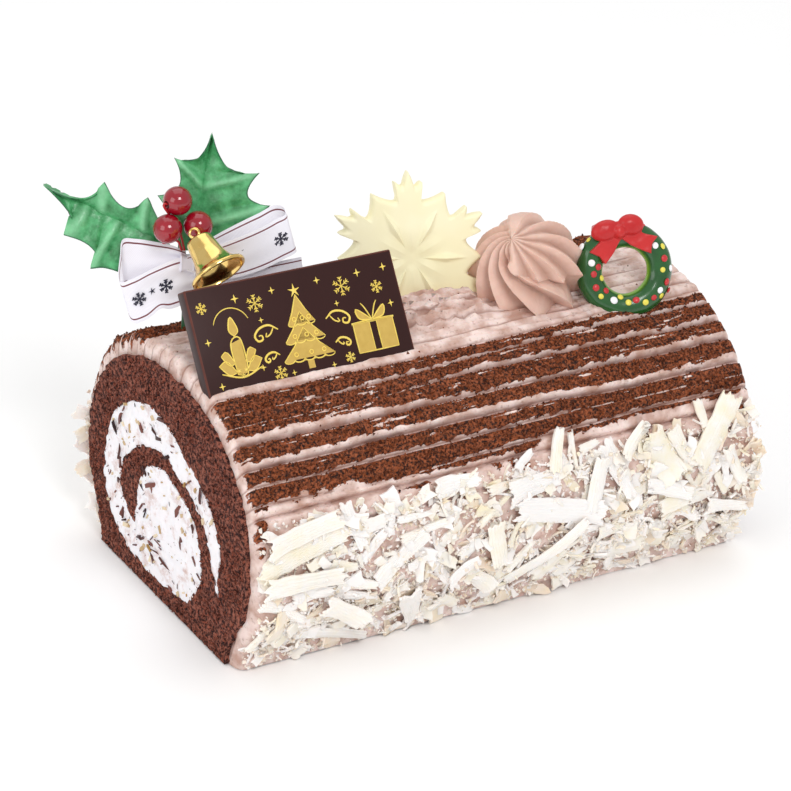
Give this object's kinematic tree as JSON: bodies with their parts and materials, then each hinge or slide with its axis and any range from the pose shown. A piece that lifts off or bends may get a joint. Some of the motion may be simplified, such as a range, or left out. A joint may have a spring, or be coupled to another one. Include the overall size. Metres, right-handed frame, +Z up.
{
  "type": "yule log cake",
  "caption": "Rolled chocolate sponge with cream filling, ridged cream coat, white chocolate shavings, moulded toppings and a holly pick with a bell.",
  "frame": {"origin": "centre of the flat underside of the roll", "axes": "+X along the log, from the end that shows the spiral to the other end; -Y to the front; +Z up"},
  "size_m": [0.1751, 0.1029, 0.1194],
  "materials": {
    "sponge": "porous chocolate sponge",
    "filling": "whipped white cream with dark and tan pieces",
    "cream": "combed milk chocolate cream",
    "dark_chocolate": "satin",
    "white_chocolate": "satin",
    "green_chocolate": "satin",
    "red_chocolate": "satin",
    "leaf_cloth": "coated cloth",
    "red_bead": "gloss",
    "gold_metal": "polished",
    "ribbon": "woven",
    "green_plastic": "matt",
    "red_wire": "gloss"
  },
  "bodies": {
    "root": {"bell": "gold_metal", "bell_clapper": "gold_metal", "bell_loop": "gold_metal", "berry_1": "red_bead", "berry_2": "red_bead", "berry_3": "red_bead", "berry_wire_1": "red_wire", "berry_wire_2": "red_wire", "berry_wire_3": "red_wire", "coat": "cream", "filling": "filling", "leaf_left": "leaf_cloth", "leaf_right": "leaf_cloth", "pick_stake": "green_plastic", "plaque": "dark_chocolate", "ribbon_knot": "ribbon", "ribbon_left": "ribbon", "ribbon_right": "ribbon", "ribbon_tail": "ribbon", "rosette": "cream", "shaving_01": "white_chocolate", "shaving_02": "white_chocolate", "shaving_03": "white_chocolate", "shaving_04": "white_chocolate", "shaving_05": "white_chocolate", "shaving_06": "white_chocolate", "shaving_07": "white_chocolate", "shaving_08": "white_chocolate", "shaving_09": "white_chocolate", "shaving_10": "white_chocolate", "shaving_11": "white_chocolate", "shaving_12": "white_chocolate", "shaving_13": "white_chocolate", "shaving_14": "white_chocolate", "shaving_15": "white_chocolate", "shaving_16": "white_chocolate", "shaving_17": "white_chocolate", "shaving_18": "white_chocolate", "shaving_19": "white_chocolate", "shaving_20": "white_chocolate", "shaving_21": "white_chocolate", "shaving_22": "white_chocolate", "shaving_23": "white_chocolate", "shaving_24": "white_chocolate", "shaving_25": "white_chocolate", "shaving_26": "white_chocolate", "shaving_27": "white_chocolate", "shaving_28": "white_chocolate", "shaving_29": "white_chocolate", "shaving_30": "white_chocolate", "shaving_31": "white_chocolate", "shaving_32": "white_chocolate", "shaving_33": "white_chocolate", "shaving_34": "white_chocolate", "snowflake": "white_chocolate", "sponge": "sponge", "wreath_bow": "red_chocolate", "wreath_ring": "green_chocolate"}
  },
  "joints": []
}
